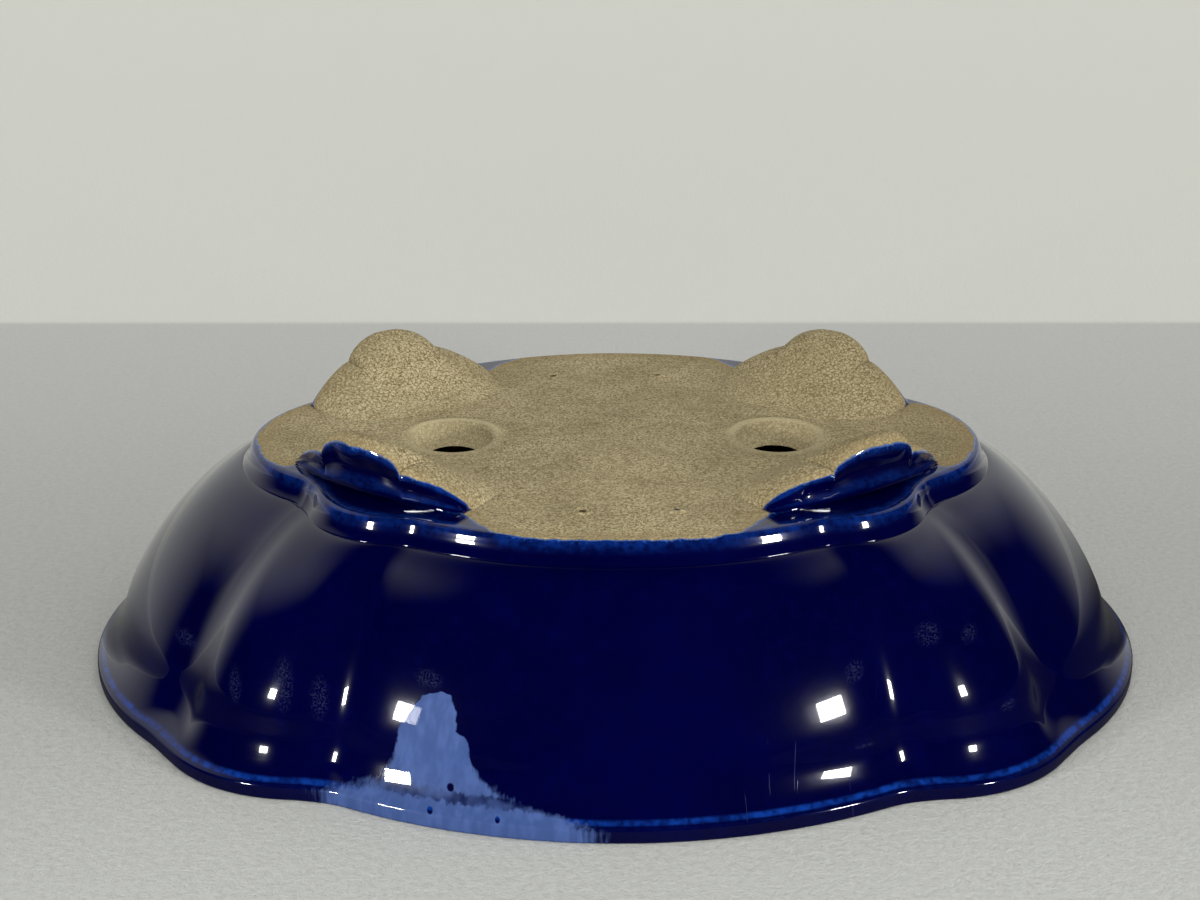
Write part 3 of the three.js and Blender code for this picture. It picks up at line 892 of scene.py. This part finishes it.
def footSection(along):
    # inset and height of its root, outer face, crest, slope and toe
    share = min(1, abs(along) / (foot["length"] / 2))
    height, mound = crestHeight(along), moundHeight(along)
    crest = foot["bow"] * share ** foot["bowPower"]
    root = foot["flare"] + foot["rootBow"] * share ** foot["rootBowPower"]
    toe = crest + mixed(foot["endDepth"], foot["depth"], math.sqrt(1 - share * share))
    front = crest - foot["crestWidth"] / 4
    back = front + min(foot["crestWidth"], (toe - crest) / 2)
    face = [(mixed(root, front, way), height * part) for way, part in foot["face"]]
    places = [(root, -0.0003)] + face + [
        (front + foot["crestWidth"] * 0.16, height * 0.94), (front + foot["crestWidth"] * 0.5, height),
        (back, height * 0.995), (mixed(back, toe, 0.14), mixed(height, mound, 0.35) * 0.93),
        (mixed(back, toe, 0.32), mixed(height, mound, 0.8) * 0.72), (mixed(back, toe, 0.52), mound * 0.44),
        (mixed(back, toe, 0.74), mound * 0.17), (mixed(back, toe, 0.9), mound * 0.035), (toe, -0.0003),
    ]
    return through([Vector(place) for place in places], foot["sectionPoints"])


def cutsAlong():
    # places of the foot's sections, crowded towards its ends and its valleys
    middle, end = foot["domeLength"] / 2, foot["length"] / 2
    stops, places = [end, middle, -middle, -end], [end]
    for i, count in enumerate(foot["stepsAlong"]):
        for step in range(1, count + 1):
            places.append(mixed(stops[i], stops[i + 1], crowded(step, count, 0.7)))
    return places


def makeCloudFoot(side, face, node):
    shift = -foot["backLeftShift"] if node.endswith("back_left") else 0
    rings = []
    for along in cutsAlong():
        section = footSection(along)
        # the glaze climbs further at the foot's ends
        higher = 0.7 * smooth(0.5, 0.9, abs(along) * 2 / foot["length"])
        points, past, thin = [], [], []
        for i, (inset, height) in enumerate(section):
            flat = footMiddle + alongCrest * along + inwards * inset
            point = Vector((flat.x, flat.y, levels["base"] + height))
            reached = i / (len(section) - 1) * foot["sectionSteps"]
            # its outer face is lumpy
            lump = noise.noise(Vector((point.x * side, point.y * face, point.z)) * foot["lumpCloseness"])
            outward = inwards * -foot["lumps"] * lump * plateau(3, 5, 7.5, 9, reached)
            point += Vector((outward.x, outward.y, 0))
            points.append(pottersHand(Vector((point.x * side + shift, point.y * face, point.z))))
            past.append((foot["glazeEnds"] + higher - reached) * 2.2)
            # painted reflection: a band of thinner, brighter glaze on the lower half of the outer face stands
            # in for the pale band that the face reflects
            paintedReflectionBand = 0.35 * plateau(2.6, 3.4, 4.0, 4.8, reached)
            thin.append(max(paintedReflectionBand, 0.8 * smooth(foot["glazeEnds"] - 1.8, foot["glazeEnds"] - 0.2, reached)))
        rings.append((points, past, thin))
    bm = newShape()
    made = sweep(bm, rings)
    for ring in (made[0], made[-1]):
        bmesh.ops.contextual_create(bm, geom=ringEdges(bm, ring))
    name = "cloudFoot" + "".join(word.capitalize() for word in node.split("_")[2:])
    makePiece(bm, name, node, glazedClay)


makeRimLip()
makeBowlWall()
makeBaseBand()
makeFloorSlab()
for side, sideName in ((-1, "left"), (1, "right")):
    for face, faceName in ((-1, "front"), (1, "back")):
        makeCloudFoot(side, face, f"cloud_foot_{faceName}_{sideName}")


# felt, lamps and camera

stage = {
    "size": 6.0, "feltEnd": 0.32,  # where the felt meets the paler backdrop
    "felt": colour(206, 207, 202), "fibre": colour(150, 151, 148), "farFelt": colour(225, 226, 221),
    "backdrop": colour(243, 244, 234), "dark": colour(10, 11, 14), "paleRoom": colour(198, 199, 194),
}


def towardsBack(x, y):
    # how far a place or way lies towards the pale back of the room, which is turned a little
    return y * 0.985 - x * 0.17


def makeStage():
    bm = bmesh.new()
    bmesh.ops.create_grid(bm, x_segments=1, y_segments=1, size=stage["size"] / 2)
    floor = shapeFrom(bm, "felt", closed=False)
    material = bpy.data.materials.new("paleFelt")
    material.use_nodes = True
    finish = Finish(material.node_tree)
    place = finish.add("ShaderNodeTexCoord", {}, {}, 3)
    x, y, z = finish.axes(place)
    fibres = finish.cloud(place, 480, 5, 0.8)
    felt = finish.blend(finish.between(0.35, 0.7, fibres) * 0.32, stage["felt"], stage["fibre"])
    felt = finish.blend(finish.between(0.3, 0.8, finish.cloud(place, 9, 2)) * 0.25, felt, stage["felt"])
    felt = finish.blend(finish.between(-0.05, 0.35, y) * 0.6, felt, stage["farFelt"])
    far = finish.between(stage["feltEnd"] - 0.004, stage["feltEnd"] + 0.004, y)
    shade = finish.blend(far, felt, stage["backdrop"])
    # gloss sees the felt pale at the back, dark in front, as it does the room
    pale = finish.between(0.0, 0.6, towardsBack(x, y) / finish.apart(place))
    near = finish.apart(finish.moved(place, scale=(6.7, 8.8, 1)))
    pale = finish.larger(pale, finish.between(1.3, 1.0, near) * 0.12)
    seesGloss = finish.add("ShaderNodeLightPath", {}, {}, 3)
    shade = finish.blend(seesGloss * (1 - pale), shade, stage["dark"])
    bump = finish.add("ShaderNodeBump", {}, {"Height": fibres, "Strength": 1.0, "Distance": 0.0008})
    shader = finish.add("ShaderNodeBsdfPrincipled", {}, {
        "Base Color": shade, "Roughness": 0.95, "Normal": bump})
    finish.add("ShaderNodeOutputMaterial", {}, {"Surface": shader})
    floor.data.materials.append(material)


def makeWorld():
    # the camera sees a pale room; gloss sees a room that is pale at the back and sides and dark in front
    world = bpy.data.worlds.new("room")
    bpy.context.scene.world = world
    world.use_nodes = True
    finish = Finish(world.node_tree)
    way = finish.add("ShaderNodeTexCoord", {}, {}, 0)
    x, y, z = finish.axes(way)
    above = finish.larger(z - 0.4, 0.0) * 1.45 * finish.between(0.2, 0.6, finish.size(x))
    behind = finish.between(0.22, 0.72, towardsBack(x, y) + above) * finish.between(0.98, 0.7, z)
    seen = finish.blend(behind, stage["dark"], stage["paleRoom"])
    seesCamera = finish.add("ShaderNodeLightPath", {}, {}, 0)
    seesGloss = finish.add("ShaderNodeLightPath", {}, {}, 3)
    fromFrontRight = x * 0.21 - y * 0.20 + 0.5  # more light comes from there
    soft = finish.blend(fromFrontRight, (0, 0, 0, 1), (1.5, 1.5, 1.48, 1))
    lit = finish.blend(seesGloss, soft, seen)
    shown = finish.blend(seesCamera, lit, stage["backdrop"])
    sky = finish.add("ShaderNodeBackground", {}, {"Color": shown, "Strength": 1.0})
    finish.add("ShaderNodeOutputWorld", {}, {"Surface": sky})


lamps = {
    "left": -49.5, "right": 50.5,  # degrees round from the camera's side
    "height": 11, "distance": 0.55, "aim": (0, -0.08, 0.03),
    "size": 0.058, "power": 0.12, "spread": 50,
}
view = {"place": (-0.005, -0.481, 0.239), "down": 20.66, "turn": -0.08, "lens": 54, "sensor": 36}


def makeLamps():
    for name in ("left", "right"):
        data = bpy.data.lights.new(name, "AREA")
        data.shape = "SQUARE"
        data.size = lamps["size"]
        data.energy = lamps["power"]
        data.spread = math.radians(lamps["spread"])
        lamp = bpy.data.objects.new(name, data)
        bpy.context.scene.collection.objects.link(lamp)
        turn, rise = math.radians(lamps[name]), math.radians(lamps["height"])
        way = Vector((math.sin(turn) * math.cos(rise), -math.cos(turn) * math.cos(rise), math.sin(rise)))
        lamp.location = Vector(lamps["aim"]) + way * lamps["distance"]
        lamp.rotation_euler = way.to_track_quat("Z", "Y").to_euler()


def makeCamera():
    data = bpy.data.cameras.new("camera")
    data.lens = view["lens"]
    data.sensor_width = view["sensor"]
    camera = bpy.data.objects.new("camera", data)
    bpy.context.scene.collection.objects.link(camera)
    camera.location = view["place"]
    camera.rotation_euler = (math.radians(90 - view["down"]), 0, math.radians(view["turn"]))
    bpy.context.scene.camera = camera


makeStage()
makeWorld()
makeLamps()
makeCamera()
bpy.context.scene.view_settings.view_transform = "Standard"
print("stage, lamps and camera set")
